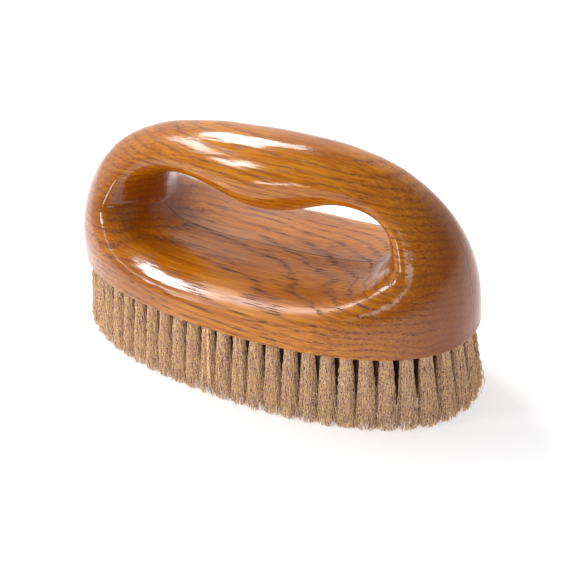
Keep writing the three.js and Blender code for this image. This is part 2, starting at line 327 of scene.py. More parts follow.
@dataclass(frozen=True)
class LacqueredWood:
    """Open-pored amber wood, its grain along the brush, under a thick glossy lacquer."""

    gold: Colour = (0.72, 0.27, 0.008)
    amber: Colour = (0.51, 0.140, 0.004)
    russet: Colour = (0.24, 0.045, 0.004)
    pore: Colour = (0.11, 0.022, 0.002)
    glue: Colour = (0.12, 0.024, 0.005)

    sway: Mottle = Mottle((0.022, 0.03, 0.03), 1.0)
    sway_reach: float = 2.5  # millimetres by which the grain wanders
    streaks: Mottle = Mottle((0.03, 1.5, 1.5), 5.0, 0.62)
    streak_steps: tuple[float, float] = (0.36, 0.66)  # streak values that turn the wood amber and gold
    clouds: Mottle = Mottle((0.022, 0.09, 0.09))
    cloud_steps: tuple[float, float] = (0.45, 0.7)
    cloud_stain: float = 0.4

    ring_pitch: float = 2.3
    ring_thinness: float = 4.0  # how much narrower the dark part of a ring is than the pale one
    ring_stain: float = 0.42
    ring_drift: Mottle = Mottle((0.016, 0.07, 0.07), 3.0, 0.6)
    ring_drift_reach: float = 7.0  # millimetres
    pith: tuple[float, float] = (-22.0, -34.0)  # y and z of the tree's heart
    grain_slope: float = 0.035

    vessels: Dashes = Dashes((0.07, 2.4, 2.4), 0.46, 0.65)
    vessels_in_ring: float = 1.3  # how dark they are in the dark part of a ring
    vessels_between: float = 0.05  # how dark they are elsewhere
    filled_heights: tuple[float, float] = (40.0, 62.0)  # z over which lacquer fills more of them
    filled_share: float = 0.45
    long_vessels: Dashes = Dashes((0.045, 1.3, 1.3), 0.26, 0.32)
    long_vessel_weight: float = 0.8
    pore_stain: float = 0.85
    pore_depth: float = 0.05
    pore_roughness: float = 0.2

    end_grain: tuple[float, float] = (0.35, 0.95)  # how squarely the grain is cut where it soaks up stain
    end_stain: float = 0.6
    end_filled: float = 0.6  # share of the pores that the stain hides there
    # painted shade: the wood is darkened towards both ends, standing in for the shade on the pillars and ends
    unshaded_middle: float = 6.0  # x of the place left palest, away from which the wood is painted darker as shade
    end_shade_reach: tuple[float, float] = (24.0, 66.0)  # distances from it over which the painted shade darkens the wood
    end_shade: float = 0.45

    glue_width: float = 0.34
    glue_core: float = 0.4  # share of the width that is fully dark
    glue_stain: float = 0.9
    crown_start: tuple[float, float] = (48.0, 58.0)  # heights between which the glue line fades
    crown_fade: float = 0.85

    brushing: Mottle = Mottle((0.07, 0.75, 0.75), 4.0, 0.55)
    brush_depth: float = 0.09
    gloss_roughness: float = 0.07
    streak_roughness: float = 0.06
    rub_roughness: float = 0.24  # added where fingertips have dulled the lacquer
    rub_start: tuple[float, float] = (-22.0, 2.0)  # x over which the dulled part of the rim begins
    rub_end: tuple[float, float] = (40.0, 58.0)  # x over which it ends
    rub_heights: tuple[float, float] = (42.0, 52.0)  # z over which it fades out upwards
    coat_weight: float = 0.12
    coat_roughness: float = 0.06
    refraction: float = 1.5

    def material(self) -> bpy.types.Material:
        """Makes the material.

        Returns:
            The lacquered wood.
        """
        material, sheet = new_sheet(Slot.WOOD.value)
        straight = sheet.place()
        x, y, z = sheet.axes(straight)
        place = self._drifted(sheet, straight)
        rings = self._rings(sheet, place)
        streaks = self.streaks.draw(sheet, place)
        clouds = self.clouds.draw(sheet, place)
        end_grain = self._end_grain(sheet)
        pores = self._pores(sheet, place, rings, z) * (1 - end_grain * self.end_filled)
        on_crown = z.rise(*self.crown_start) * self.crown_fade
        glue_line = (1 - abs(y).rise(self.glue_width * self.glue_core, self.glue_width)) * (1 - on_crown)
        # painted shade, darker towards both ends
        end_shade_mask = abs(x - self.unshaded_middle).rise(*self.end_shade_reach)

        colour = sheet.blend(streaks.rise(*self.streak_steps), self.amber, self.gold)
        colour = sheet.blend(rings * self.ring_stain, colour, self.russet)
        colour = sheet.blend((1 - clouds).rise(*self.cloud_steps) * self.cloud_stain, colour, self.russet)
        colour = sheet.blend(end_grain * self.end_stain, colour, self.russet)
        # painted shade towards the ends
        colour = sheet.blend(end_shade_mask * self.end_shade, colour, self.russet)
        colour = sheet.blend(pores * self.pore_stain, colour, self.pore)
        colour = sheet.blend(glue_line * self.glue_stain, colour, self.glue)

        below_grip = 1 - z.rise(*self.rub_heights)
        dulled = x.rise(*self.rub_start) * (1 - x.rise(*self.rub_end)) * below_grip
        brushing = self.brushing.draw(sheet, place) * (self.brush_depth / self.pore_depth)
        roughness = pores * self.pore_roughness + streaks * self.streak_roughness
        sheet.surface(
            Base_Color=colour,
            Roughness=roughness + dulled * self.rub_roughness + self.gloss_roughness,
            IOR=self.refraction,
            Coat_Weight=(1 - pores) * (1 - dulled) * self.coat_weight,
            Coat_Roughness=self.coat_roughness,
            Normal=sheet.bump(brushing - pores - glue_line, self.pore_depth),
        )
        return material

    def _pores(self, sheet: Sheet, place: Signal, rings: Signal, z: Signal) -> Signal:
        """The opened vessels, most of them in the dark part of each ring.

        Args:
            sheet: sheet to draw on.
            place: where in the wood's own grain.
            rings: 1 in the dark part of each ring, 0 between.
            z: height on the brush.

        Returns:
            How open the wood is, from 0 to a little over 1.
        """
        crowd = rings * self.vessels_in_ring + self.vessels_between
        unfilled = 1 - z.rise(*self.filled_heights) * self.filled_share
        short = self.vessels.draw(sheet, place) * crowd * unfilled
        return short + self.long_vessels.draw(sheet, place) * self.long_vessel_weight

    def _drifted(self, sheet: Sheet, place: Signal) -> Signal:
        """The place, moved so that the grain wanders a little from straight lines.

        Args:
            sheet: sheet to draw on.
            place: where on the brush.

        Returns:
            The place in the wood's own grain.
        """
        sway = self.sway.draw(sheet, place, "Color")
        swayed = sheet.stretched(sway, (0.0, self.sway_reach, self.sway_reach))
        return sheet.add("ShaderNodeVectorMath", {"operation": "ADD"}, {0: place, 1: swayed})

    def _end_grain(self, sheet: Sheet) -> Signal:
        """How squarely the surface cuts across the grain.

        Args:
            sheet: sheet to draw on.

        Returns:
            1 on end grain, 0 on long grain.
        """
        along, _, _ = sheet.axes(sheet.add("ShaderNodeTexCoord", output="Normal"))
        return abs(along).rise(*self.end_grain)

    def _rings(self, sheet: Sheet, place: Signal) -> Signal:
        """Growth rings round the tree's heart.

        Args:
            sheet: sheet to draw on.
            place: where on the brush.

        Returns:
            1 in the dark part of each ring, 0 between.
        """
        x, y, z = sheet.axes(place)
        across, up = y - self.pith[0], z - self.pith[1]
        drift = self.ring_drift.draw(sheet, place) * self.ring_drift_reach
        distance = (across * across + up * up) ** 0.5 + drift + x * self.grain_slope
        return (distance * (2 * math.pi / self.ring_pitch)).wave() ** self.ring_thinness


@dataclass(frozen=True)
class BristleWire:
    """Fine crimped brass wire, some of it bright, some of it tarnished pink and brown. Its small specks are
    partly painted glints and painted shade between the wires, and the wire inside the outer ring is darkened
    with painted shade.
    """

    straw_and_glint: Colour = (1.0, 0.84, 0.50)
    brass: Colour = (0.92, 0.60, 0.18)
    blush: Colour = (0.95, 0.56, 0.55)
    tarnish_and_shade: Colour = (0.15, 0.062, 0.058)
    # painted shade: colour that darkens the wire inside the outer ring, where the brush lies in shade
    inner_shade: Colour = (0.10, 0.045, 0.05)
    metal: float = 0.3
    roughness: float = 0.45
    ring_reach: tuple[float, float] = (71.0, 32.3)  # half length and half width of the outer ring
    inner_shade_fade: tuple[float, float] = (0.90, 1.0)  # shares of the ring's reach over which the painted shade inside the ring fades out
    inner_shade_share: float = 0.75
    strands: Mottle = Mottle((2.3, 2.3, 0.22), 2.0, 0.6)
    specks_and_glints: Mottle = Mottle((2.6, 2.6, 1.7), 2.0, 0.7)
    glint_speck_share: float = 0.65  # of the colour's change that goes with specks, partly painted glints and painted shade between the wires, and not with whole strands
    steps: tuple[float, float, float, float] = (0.40, 0.46, 0.52, 0.59)  # tarnish and painted shade, blush, brass, straw and painted glint
    speck_depth: float = 0.05
    speck_bump: float = 0.5

    def material(self) -> bpy.types.Material:
        """Makes the material.

        Returns:
            The wire.
        """
        material, sheet = new_sheet(Slot.WIRE.value)
        place = sheet.place()
        # specks along the wire: tarnish and tone, partly painted glints and painted shade
        specks_and_glints = self.specks_and_glints.draw(sheet, place)
        age = self.strands.draw(sheet, place) * (1 - self.glint_speck_share) + specks_and_glints * self.glint_speck_share
        stops = list(zip(self.steps, (self.tarnish_and_shade, self.blush, self.brass, self.straw_and_glint)))
        colour = sheet.add("ShaderNodeValToRGB", {"stops": stops}, {0: age})
        x, y, _ = sheet.axes(place)
        along, across = x / self.ring_reach[0], y / self.ring_reach[1]
        # painted shade on the wire inside the outer ring
        unshaded_wire = ((along * along + across * across) ** 0.5).rise(*self.inner_shade_fade)
        sheet.surface(
            Base_Color=sheet.blend(unshaded_wire, sheet.blend(self.inner_shade_share, colour, self.inner_shade), colour),
            Metallic=self.metal,
            Roughness=self.roughness,
            Normal=sheet.bump(specks_and_glints, self.speck_depth, self.speck_bump),
        )
        return material


@dataclass(frozen=True)
class PaleFloor:
    """Smooth white studio floor."""

    white: Colour = (0.86, 0.86, 0.865)
    shade: Colour = (0.84, 0.84, 0.85)
    haze: Mottle = Mottle((0.004, 0.004, 0.004), 1.0)
    roughness: float = 0.9
    glow: float = 0.6  # light that the floor gives off itself, as a light table does

    def material(self) -> bpy.types.Material:
        """Makes the material.

        Returns:
            The floor's matt white.
        """
        material, sheet = new_sheet("studio_floor")
        colour = sheet.blend(self.haze.draw(sheet, sheet.place()), self.white, self.shade)
        sheet.surface(Base_Color=colour, Roughness=self.roughness, Emission_Color=colour,
                      Emission_Strength=self.glow)
        return material


# ---------------------------------------------------------------------------------------------------------
# Meshes
# ---------------------------------------------------------------------------------------------------------


@dataclass
class Shell:
    """Points and faces of one piece while it is being made, in millimetres."""

    points: list[np.ndarray] = field(default_factory=list)
    faces: list[np.ndarray] = field(default_factory=list)
    count: int = 0

    def add(self, points: np.ndarray, *faces: np.ndarray) -> None:
        """Adds points and the faces between them.

        Args:
            points: an array whose last axis is x, y, z.
            faces: arrays of corner numbers, counted from the first of these points.
        """
        flat = points.reshape(-1, 3)
        self.points.append(flat)
        self.faces.extend(corners + self.count for corners in faces if len(corners))
        self.count += len(flat)

    def piece(self, name: str, material: bpy.types.Material, mirrored: bool = False) -> bpy.types.Object:
        """Makes the Blender object.

        Args:
            name: the object's name.
            material: its finish.
            mirrored: whether the shell is turned over to the front of the middle plane.

        Returns:
            The object, in metres, linked to the scene.
        """
        points = np.concatenate(self.points) * MM
        faces = self.faces
        if mirrored:
            points = points * (1, -1, 1)
            faces = [corners[:, ::-1] for corners in faces]
        sizes = np.concatenate([np.full(len(corners), corners.shape[1]) for corners in faces])
        loops = np.concatenate([corners.ravel() for corners in faces]).astype(np.int32)
        mesh = bpy.data.meshes.new(name)
        mesh.vertices.add(len(points))
        mesh.vertices.foreach_set("co", points.astype(np.float32).ravel())
        mesh.loops.add(len(loops))
        mesh.loops.foreach_set("vertex_index", loops)
        mesh.polygons.add(len(sizes))
        starts = np.concatenate([[0], np.cumsum(sizes)[:-1]]).astype(np.int32)
        mesh.polygons.foreach_set("loop_start", starts)
        mesh.update(calc_edges=True)
        mesh.validate()
        mesh.polygons.foreach_set("use_smooth", np.ones(len(mesh.polygons), bool))
        mesh.materials.append(material)
        piece = bpy.data.objects.new(name, mesh)
        bpy.context.scene.collection.objects.link(piece)
        return piece


def grid_faces(rows: int, columns: int, closed: bool) -> np.ndarray:
    """Corner numbers of the quads of a grid of points.

    Args:
        rows: number of rows.
        columns: number of points in a row.
        closed: whether the last row joins the first.

    Returns:
        An array of quads, turning from a row to the next and then along it.
    """
    row = np.arange(rows if closed else rows - 1)[:, None]
    column = np.arange(columns - 1)[None, :]
    after = (row + 1) % rows
    corners = [row * columns + column, after * columns + column,
               after * columns + column + 1, row * columns + column + 1]
    return np.stack(corners, axis=-1).reshape(-1, 4)


def signed_power(value: np.ndarray, squareness: float) -> np.ndarray:
    """Cosine or sine raised so that the oval of the given squareness results."""
    return np.sign(value) * np.abs(value) ** (2 / squareness)


def bulge(share: np.ndarray, squareness: float) -> np.ndarray:
    """Half height of a unit oval at a share of its half length: 1 at the middle, 0 at the end."""
    return np.maximum(0, 1 - np.minimum(1, np.abs(share)) ** squareness) ** (1 / squareness)


def smooth_step(value: np.ndarray, low: float, high: float) -> np.ndarray:
    """Smooth step from 0 at `low` to 1 at `high`."""
    share = np.clip((value - low) / (high - low), 0, 1)
    return share * share * (3 - 2 * share)


def evenly_spaced(curve: Curve, start: float, end: float, steps: int) -> np.ndarray:
    """Points at equal distances along a curve.

    Args:
        curve: gives points for an array of angles.
        start: first angle.
        end: last angle.
        steps: number of stretches.

    Returns:
        steps + 1 points.
    """
    fine = np.linspace(start, end, MEASURING_POINTS)
    points = curve(fine)
    run = np.concatenate([[0], np.cumsum(np.linalg.norm(np.diff(points, axis=0), axis=1))])
    return curve(np.interp(np.linspace(0, run[-1], steps + 1), run, fine))


# ---------------------------------------------------------------------------------------------------------
# Wooden block
# ---------------------------------------------------------------------------------------------------------


@dataclass(frozen=True)
class BlockShape:
    """Sizes of the block, and the formulas that give its surface."""

    length: float = 150.0
    width: float = 72.8
    plan_squareness: float = 2.23  # of the outline from above: 2 gives an ellipse, more gives fuller corners
    bottom: float = 25.5  # height of the block over the floor
    handle_height: float = 54.5
    crown_squareness: float = 2.82
    crown_skew: float = 0.057  # share by which the crown rises towards the right end
    shoulder_height: float = 7.0  # over the bottom, where the block starts to narrow
    grip_height: float = 46.0  # over the bottom, where it is as narrow as the grip
    grip_width: float = 41.0
    crown_rounding: float = 4.2
    window_length: float = 92.5
    window_height: float = 25.0
    window_squareness: float = 3.3
    window_shift: float = 2.4  # of its middle towards the right end
    window_slope: float = 0.045
    floor_thickness: float = 13.2  # wood under the middle of the window
    grip_swell: float = 9.5  # by which the grip hangs into the window
    swell_place: float = 4.3
    swell_spread: float = 23.4
    floor_spread: float = 20.4  # half width of the flared mouth 1 mm from the window's floor
    wall_spread: float = 5.3  # the same beside the pillars
    grip_spread: float = 4.7  # the same under the grip
    spread_power: float = 0.556
    mouth_core: float = 0.68  # length of the window's long axis, as a share of the window's length
    rim_sharpness: float = 4.9  # of the edge between the mouth and the outside
    grip_softness: float = 1.9  # by which the roll under the grip is gentler than the rim
    foot_round: float = 0.9  # rounding of the lower edge
    glue_gap: float = 0.005  # from the middle plane to each half
    edge_steps: int = 720  # stretches of the window's edge when distances to it are measured
    batch: int = 4000  # places measured at a time

    @property
    def half_length(self) -> float:
        """From the middle to an end."""
        return self.length / 2

    @property
    def window_middle(self) -> float:
        """Height of the middle of the window."""
        return self.bottom + self.floor_thickness + self.window_height / 2

    def window_edge(self, angle: np.ndarray) -> np.ndarray:
        """Points of the window's edge on the middle plane.

        Args:
            angle: angles round the window, from its right end upwards.

        Returns:
            One point for each angle.
        """
        x = self.window_length / 2 * signed_power(np.cos(angle), self.window_squareness) + self.window_shift
        rise = signed_power(np.sin(angle), self.window_squareness)
        swell = self.grip_swell * np.exp(-(((x - self.swell_place) / self.swell_spread) ** 2))
        tilt = self.window_slope * (x - self.window_shift)
        z = self.window_middle + tilt + self.window_height / 2 * rise - swell * np.maximum(0, rise)
        return np.stack([x, np.zeros_like(x), z], axis=-1)

    def crown_height(self, x: np.ndarray) -> np.ndarray:
        """Height of the crown over the block's bottom."""
        return self.handle_height * (1 + self.crown_skew * x / self.half_length)

    def crown_edge(self, angle: np.ndarray) -> np.ndarray:
        """Points of the crown on the middle plane.

        Args:
            angle: angles from the right end over the top to the left end.

        Returns:
            One point for each angle.
        """
        x = self.half_length * signed_power(np.cos(angle), self.crown_squareness)
        z = self.bottom + self.crown_height(x) * signed_power(np.sin(angle), self.crown_squareness)
        return np.stack([x, np.zeros_like(x), z], axis=-1)

    def oval(self, inset: float) -> Curve:
        """The block's outline from above.

        Args:
            inset: how far the outline is drawn in.

        Returns:
            The curve, anticlockwise from the right end.
        """

        def points(angle: np.ndarray) -> np.ndarray:
            """Points of the oval."""
            x = (self.half_length - inset) * signed_power(np.cos(angle), self.plan_squareness)
            y = (self.width / 2 - inset) * signed_power(np.sin(angle), self.plan_squareness)
            return np.stack([x, y, np.zeros_like(x)], axis=-1)

        return points

    def loaf(self, x: np.ndarray, z: np.ndarray) -> np.ndarray:
        """Half thickness of the block before its window is hollowed out.

        Args:
            x: places along the brush.
            z: heights.

        Returns:
            From the middle plane to the outside, one for each place.
        """
        height = np.clip((z - self.bottom) / self.crown_height(x), 0, 1)
        reach = np.maximum(self.half_length * bulge(height, self.crown_squareness), TINY)
        draw_in = smooth_step(z, self.bottom + self.shoulder_height, self.bottom + self.grip_height)
        width = self.width / 2 + (self.grip_width / 2 - self.width / 2) * draw_in
        return width * np.sqrt(1 - height**self.crown_rounding) * bulge(x / reach, self.plan_squareness)

    def rise_from_core(self, points: np.ndarray) -> np.ndarray:
        """How steeply points lie above the window's long axis.

        Args:
            points: points of the middle plane.

        Returns:
            1 straight above the axis, 0 beside it and -1 straight below it.
        """
        x, z = points[..., 0], points[..., 2]
        reach = self.mouth_core * self.window_length / 2
        along = np.clip(x - self.window_shift, -reach, reach)
        aside = x - self.window_shift - along
        lift = z - self.window_middle - self.window_slope * along
        return lift / np.maximum(np.hypot(aside, lift), TINY)

    def rim(self, points: np.ndarray) -> np.ndarray:
        """Sharpness of the edge between the mouth and the outside at points of the middle plane."""
        return self.rim_sharpness - self.grip_softness * smooth_step(self.rise_from_core(points), 0, 1)

    def mouth(self, points: np.ndarray) -> np.ndarray:
        """Half thickness that the window's flared mouth allows.

        Args:
            points: points of the middle plane.

        Returns:
            From the middle plane to the mouth, one for each point.
        """
        x, z = points[..., 0], points[..., 2]
        rise = self.rise_from_core(points)
        down, up = smooth_step(-rise, 0, 1), smooth_step(rise, 0, 1)
        spread = (self.wall_spread + (self.floor_spread - self.wall_spread) * down
                  + (self.grip_spread - self.wall_spread) * up)
        return spread * self._window_distance(x, z) ** self.spread_power

    def _window_distance(self, x: np.ndarray, z: np.ndarray) -> np.ndarray:
        """Distance from places on the middle plane to the window's edge.

        Args:
            x: places along the brush.
            z: heights.

        Returns:
            One distance for each place.
        """
        edge = evenly_spaced(self.window_edge, 0, 2 * math.pi, self.edge_steps)[:, [0, 2]]
        starts, runs = edge[:-1], np.diff(edge, axis=0)
        places = np.stack([x, z], axis=-1).reshape(-1, 1, 2)
        nearest = np.full(len(places), np.inf)
        for first in range(0, len(places), self.batch):
            offset = places[first:first + self.batch] - starts
            share = np.clip((offset * runs).sum(-1) / (runs * runs).sum(-1), 0, 1)
            away = offset - share[..., None] * runs
            nearest[first:first + self.batch] = np.sqrt((away * away).sum(-1).min(axis=1))
        return nearest.reshape(x.shape)


@dataclass(frozen=True)
class HandFinish:
    """Slow waves left by hand sanding and finer ones left by brushed lacquer."""

    slow_depth: float = 0.07
    slow_length: tuple[float, float] = (16.0, 42.0)
    fine_depth: float = 0.012
    fine_length: tuple[float, float] = (3.0, 7.0)
    grain_stretch: float = 0.35  # of the fine waves' steepness that is left along the brush
    waves: int = 14
    seed: int = 11

    def depth(self, points: np.ndarray) -> np.ndarray:
        """How far the surface stands out at each point.

        Args:
            points: points of the block.

        Returns:
            Millimetres, one for each point.
        """
        chance = np.random.default_rng(self.seed)
        total = np.zeros(points.shape[:-1])
        slow = (self.slow_depth, self.slow_length, 1.0)
        fine = (self.fine_depth, self.fine_length, self.grain_stretch)
        for depth, (shortest, longest), stretch in (slow, fine):
            for _ in range(self.waves):
                heading = chance.normal(size=3)
                heading = heading / np.linalg.norm(heading) * (stretch, 1, 1)
                turns = 2 * math.pi / chance.uniform(shortest, longest)
                phase = chance.uniform(0, 2 * math.pi)
                total += depth / math.sqrt(self.waves) * np.sin(points @ (heading * turns) + phase)
        return total


@dataclass(frozen=True)
class TuftPlace:
    """Where a tuft stands: its root at the block's bottom and how far its tip leans."""

    root: np.ndarray
    lean: np.ndarray

    def axis(self, z: np.ndarray, bottom: float) -> np.ndarray:
        """Points of the tuft's axis at heights.

        Args:
            z: heights.
            bottom: height of the block's bottom.

        Returns:
            One point for each height.
        """
        share = 1 - np.asarray(z, float) / bottom
        flat = self.root + self.lean * share[..., None]
        return np.concatenate([flat, np.asarray(z, float)[..., None]], axis=-1)


@dataclass(frozen=True)
class BristlePlan:
    """Where the tufts are set."""

    block: BlockShape
    edge_tufts: int = 56
    tuft_diameter: float = 4.2
    hole_depth: float = 7.5
    clearance: float = 0.3  # round a tuft in its hole
    edge_wall: float = 1.7  # wood between the outer holes and the block's side
    edge_splay: float = 2.9  # how far a tip of the outer ring leans out
    pitch: float = 7.4  # of the inner tufts along a row
    row_pitch: float = 6.6
    ring_clearance: float = 0.85  # between the outer ring and the inner tufts, in pitches

    @property
    def edge_inset(self) -> float:
        """From the block's side to the middle of the outer ring's holes."""
        return self.edge_wall + self.tuft_diameter / 2 + self.clearance

    def edge_places(self) -> list[TuftPlace]:
        """Places of the outer ring.

        Returns:
            The places, anticlockwise from the right end.
        """
        ring = evenly_spaced(self.block.oval(self.edge_inset), 0, 2 * math.pi, 2 * self.edge_tufts)[:, :2]
        places = []
        for i in range(1, 2 * self.edge_tufts, 2):
            along = ring[(i + 1) % len(ring)] - ring[i - 1]
            out = np.array([along[1], -along[0]]) / np.linalg.norm(along)
            places.append(TuftPlace(ring[i], out * self.edge_splay))
        return places

    def inner_places(self) -> list[TuftPlace]:
        """Places of the tufts inside the ring.

        Returns:
            Staggered straight rows, from the middle outwards.
        """
        inset = self.edge_inset + self.pitch * self.ring_clearance
        reach, depth = self.block.half_length - inset, self.block.width / 2 - inset
        places = []
        for row in range(math.floor(depth / self.row_pitch + 0.5)):
            y = (row + 0.5) * self.row_pitch
            half_row = reach * float(bulge(np.array(y / depth), self.block.plan_squareness))
            offset = 0.0 if row % 2 == 0 else 0.5
            last = math.floor(half_row / self.pitch - offset)
            for column in range(int(last + 2 * offset) + last + 1):
                x = (column - last - offset) * self.pitch
                places += [TuftPlace(np.array([x, side * y]), np.zeros(2)) for side in (1, -1)]
        return places


@dataclass
class HandleHalf:
    """One glued half of the block, drilled from below. It is made for the back and mirrored for the front."""

    plan: BristlePlan
    front: bool
    finish: HandFinish = HandFinish()
    top_steps: int = 300
    base_steps: int = 220
    across_steps: int = 96
    round_steps: int = 6
    hole_sides: int = 20
    hole_radius: float = 2.3
    window_split: float = 0.6  # radians below the window's ends where the lower edge takes over
    crease_slope: float = 0.07  # of the window's floor, which falls away on both sides of the glue line
    crease_fade: tuple[float, float] = (3.0, 14.0)  # distances from the glue line over which the fall ends
    crease_width: float = 0.6  # share of the way from the window to the side over which it ends
    thinnest: float = 1e-6  # of the mouth, so that the rim can be worked out at the window's edge
    true_foot: float = 4.0  # height over the bottom in which sanding waves grow to their full depth
    merge_distance: float = 1e-5  # of the bottom's points
    weld_distance: float = 2e-6  # metres
    sharp_angle: float = math.radians(40)

    @property
    def name(self) -> str:
        """The half's name."""
        return "block_front_half" if self.front else "block_back_half"

    def make(self, material: bpy.types.Material) -> bpy.types.Object:
        """Builds the half and lets it stand for its CAD node.

        Args:
            material: lacquered wood.

        Returns:
            The finished piece.
        """
        shell = Shell()
        surface = self._surface()
        shell.add(surface, grid_faces(*surface.shape[:2], closed=True))
        foot, seam = self._foot(surface)
        base = surface[self.top_steps:]
        base = np.concatenate([base, surface[:1]])
        shell.add(np.stack([base[:, -1], foot[:, 0]], axis=1), grid_faces(len(base), 2, closed=False))
        shell.add(foot, grid_faces(*foot.shape[:2], closed=False))
        self._add_bottom(shell, foot[:, -1], seam)
        self._add_glue_face(shell, surface, foot, seam)
        self._add_holes(shell)
        piece = shell.piece(self.name, material, mirrored=self.front)
        self._weld(piece)
        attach(piece, BODY)
        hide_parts("handle_half_front" if self.front else "handle_half_back")
        return piece

    def _surface(self) -> np.ndarray:
        """Works out the half's outside.

        Returns:
            Points in sections that go once round the window, each from the window to the outer edge.
        """
        block, gap = self.plan.block, self.plan.block.glue_gap
        start, end = self._section_ends()
        share = (1 - np.cos(np.pi * np.linspace(0, 1, self.across_steps + 1))) / 2
        points = start[:, None] + (end - start)[:, None] * share[None, :, None]
        loaf = block.loaf(points[..., 0], points[..., 2])
        mouth = np.maximum(block.mouth(points), self.thinnest)
        rim = block.rim(points)
        crowding = (1 - share) * (loaf / mouth) ** rim
        depth = loaf * (1 + crowding) ** (-1 / rim)
        depth[:, 0] = 0
        depth[: self.top_steps + 1, -1] = 0
        points[..., 1] = depth + gap
        fall = self.crease_slope * depth * (1 - smooth_step(depth, *self.crease_fade))
        fall = fall * (1 - smooth_step(share, 0, self.crease_width))
        points[self.top_steps:, :, 2] -= fall[self.top_steps:]
        return self._hand_finished(points)

    def _section_ends(self) -> tuple[np.ndarray, np.ndarray]:
        """Points that the sections join.

        Returns:
            Points on the window's edge and the matching points on the outer edge.
        """
        block, half = self.plan.block, math.pi
        lift = (block.foot_round / block.handle_height) ** (block.crown_squareness / 2)
        split = self.window_split
        inside_top = evenly_spaced(block.window_edge, -split, half + split, self.top_steps)
        outside_top = evenly_spaced(block.crown_edge, lift, half - lift, self.top_steps)
        inside_base = evenly_spaced(block.window_edge, half + split, 2 * half - split, self.base_steps)
        outside_base = evenly_spaced(block.oval(0), half, 2 * half, self.base_steps) * (1, 0, 0)
        outside_base[:, 2] = block.bottom + block.foot_round
        return (np.concatenate([inside_top[:-1], inside_base[:-1]]),
                np.concatenate([outside_top[:-1], outside_base[:-1]]))

    def _hand_finished(self, points: np.ndarray) -> np.ndarray:
        """Moves the surface out and in by the waves of hand finishing.

        Args:
            points: points of the outside.

        Returns:
            The moved points. Those on the glue line stay on it.
        """
        around = np.roll(points, -1, 0) - np.roll(points, 1, 0)
        normal = np.cross(np.gradient(points, axis=1), around)
        normal /= np.maximum(np.linalg.norm(normal, axis=-1, keepdims=True), TINY)
        block = self.plan.block
        fade = smooth_step(points[..., 2], block.bottom + block.foot_round, block.bottom + self.true_foot)
        moved = points + normal * (self.finish.depth(points) * fade)[..., None]
        glued = points[..., 1] <= block.glue_gap + TINY
        moved[..., 1] = np.where(glued, block.glue_gap, np.maximum(moved[..., 1], block.glue_gap))
        return moved

    def _foot(self, surface: np.ndarray) -> tuple[np.ndarray, np.ndarray]:
        """The rounded lower edge.

        Args:
            surface: points of the outside.

        Returns:
            Rows of points from the side to the bottom, and the matching points on the glue line.
        """
        block = self.plan.block
        rim = np.concatenate([surface[self.top_steps:, -1], surface[:1, -1]])
        along = np.gradient(rim[:, :2], axis=0)
        inward = np.stack([-along[:, 1], along[:, 0]], axis=-1)
        inward /= np.linalg.norm(inward, axis=-1, keepdims=True)
        inward *= -np.sign((inward * rim[:, :2]).sum(-1, keepdims=True))
        inward[[0, -1]] = [[1, 0], [-1, 0]]
        turn = np.linspace(0, math.pi / 2, self.round_steps + 1)
        foot = np.repeat(rim[:, None], len(turn), axis=1)
        foot[..., :2] += inward[:, None] * (block.foot_round * (1 - np.cos(turn)))[None, :, None]
        foot[..., 2] = block.bottom + block.foot_round * (1 - np.sin(turn))
        seam = foot[:, -1].copy()
        seam[:, 1] = block.glue_gap
        return foot, seam

    def _add_bottom(self, shell: Shell, outline: np.ndarray, seam: np.ndarray) -> None:
        """Adds the flat bottom with its holes left open.

        Args:
            shell: where the faces go.
            outline: points of the bottom's edge, end to end.
            seam: points on the glue line, end to end.
        """
        loop = np.concatenate([outline, seam[1:-1][::-1]])[:, :2]
        rings = [self._hole_ring(place)[:, :2] for place in self._own_places()]
        flat = [Vector(point) for ring in (loop, *rings) for point in ring]
        counts = np.cumsum([0, len(loop), *(len(ring) for ring in rings)])
        faces = [list(range(first, last)) for first, last in zip(counts, counts[1:])]
        points, _, triangles, *_ = delaunay_2d_cdt(flat, [], faces, 1, self.merge_distance)
        points = np.array([tuple(point) for point in points])
        triangles = np.array([tuple(triangle) for triangle in triangles])
        middles = points[triangles].mean(axis=1)
        roots = np.array([place.root for place in self._own_places()])
        apart = np.linalg.norm(middles[:, None] - roots[None], axis=-1).min(axis=1)
        triangles = triangles[apart > self.hole_radius * math.cos(math.pi / self.hole_sides)]
        edges = points[triangles]
        turn = np.cross(edges[:, 1] - edges[:, 0], edges[:, 2] - edges[:, 0])
        triangles[turn > 0] = triangles[turn > 0][:, ::-1]
        heights = np.full((len(points), 1), self.plan.block.bottom)
        shell.add(np.concatenate([points, heights], axis=1), triangles)

    def _add_glue_face(self, shell: Shell, surface: np.ndarray, foot: np.ndarray, seam: np.ndarray) -> None:
        """Adds the flat face that is glued to the other half.

        Args:
            shell: where the faces go.
            surface: points of the outside.
            foot: the rounded lower edge.
            seam: points on the glue line at the bottom.
        """
        top = np.stack([surface[: self.top_steps + 1, -1], surface[: self.top_steps + 1, 0]], axis=1)
        shell.add(top, grid_faces(len(top), 2, closed=False))
        inside = np.concatenate([surface[self.top_steps:, 0], surface[:1, 0]])
        base = np.stack([seam, inside], axis=1)
        shell.add(base, grid_faces(len(base), 2, closed=False))
        for end, order in ((0, 1), (-1, -1)):
            fan = np.concatenate([inside[end][None], foot[end]])
            fan[:, 1] = self.plan.block.glue_gap
            corners = np.array([[0, i, i + 1] for i in range(1, len(fan) - 1)])
            shell.add(fan, corners[:, ::order])

    def _own_places(self) -> list[TuftPlace]:
        """Places of the tufts at the back of the middle plane."""
        places = self.plan.edge_places() + self.plan.inner_places()
        return [place for place in places if place.root[1] > 0]

